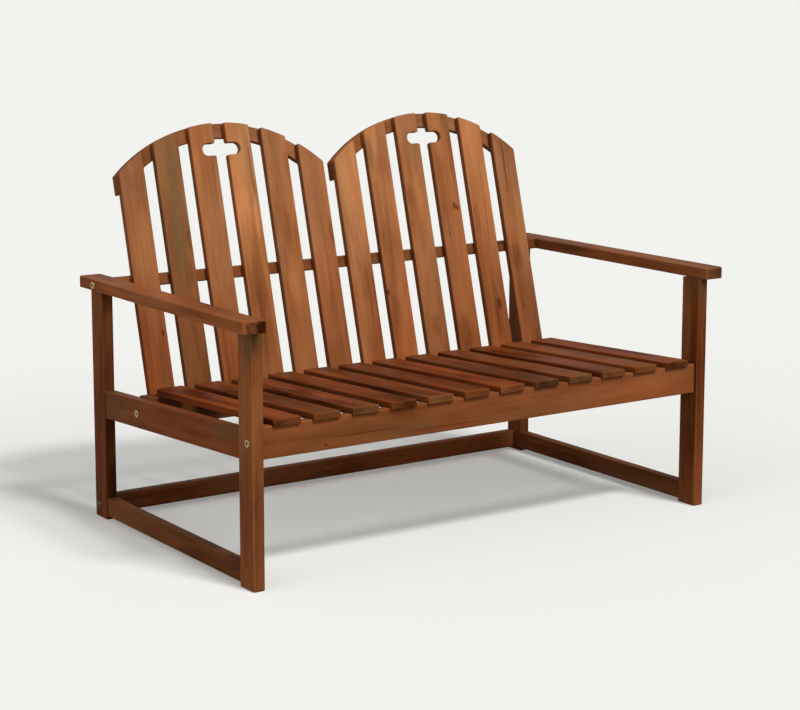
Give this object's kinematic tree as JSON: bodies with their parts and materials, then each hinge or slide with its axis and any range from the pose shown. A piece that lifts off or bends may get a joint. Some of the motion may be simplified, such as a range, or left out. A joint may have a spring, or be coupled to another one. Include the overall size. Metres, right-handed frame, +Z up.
{
  "type": "companion seat bench",
  "caption": "Two-seat slatted hardwood garden bench with flat armrests and a reclined back in two arched panels, each with a cross-shaped hand-hold.",
  "frame": {"origin": "on the floor, in the middle of the overall length and depth", "axes": "+X along the bench to the right as seen from the front, +Y to the rear, +Z up"},
  "size_m": [1.2044, 0.711, 0.8287],
  "materials": {
    "acacia_frame": "oiled, dark red-brown",
    "acacia_slats": "oiled, orange-brown",
    "zinc_bolt": "yellow zinc plated",
    "zinc_screw": "zinc plated",
    "beech_dowel": "plain, unseen"
  },
  "bodies": {
    "root": {"left_front_post": "acacia_frame", "left_rear_post": "acacia_frame", "left_armrest": "acacia_frame", "left_seat_side_rail": "acacia_frame", "left_bottom_side_rail": "acacia_frame", "right_front_post": "acacia_frame", "right_rear_post": "acacia_frame", "right_armrest": "acacia_frame", "right_seat_side_rail": "acacia_frame", "right_bottom_side_rail": "acacia_frame", "front_apron": "acacia_frame", "seat_rear_rail": "acacia_frame", "rear_stretcher": "acacia_frame", "back_mid_rail": "acacia_frame", "seat_slat_01": "acacia_slats", "seat_slat_02": "acacia_slats", "seat_slat_03": "acacia_slats", "seat_slat_04": "acacia_slats", "seat_slat_05": "acacia_slats", "seat_slat_06": "acacia_slats", "seat_slat_07": "acacia_slats", "seat_slat_08": "acacia_slats", "seat_slat_09": "acacia_slats", "seat_slat_10": "acacia_slats", "seat_slat_11": "acacia_slats", "seat_slat_12": "acacia_slats", "back_slat_01": "acacia_slats", "back_slat_02": "acacia_slats", "back_slat_03": "acacia_slats", "back_slat_04": "acacia_slats", "back_slat_05": "acacia_slats", "back_slat_06": "acacia_slats", "back_slat_07": "acacia_slats", "back_slat_08": "acacia_slats", "back_slat_09": "acacia_slats", "back_slat_10": "acacia_slats", "back_slat_11": "acacia_slats", "back_slat_12": "acacia_slats", "left_back_top_batten": "acacia_frame", "right_back_top_batten": "acacia_frame", "apron_bolts": "zinc_bolt", "seat_rail_bolts": "zinc_bolt", "stretcher_bolts": "zinc_bolt", "back_rail_bolts": "zinc_bolt", "barrel_nuts": "zinc_bolt", "side_frame_dowels": "beech_dowel", "armrest_dowels": "beech_dowel", "seat_slat_dowels": "beech_dowel", "top_batten_screws": "zinc_screw", "back_rail_screws": "zinc_screw", "seat_rail_screws": "zinc_screw"}
  },
  "joints": []
}
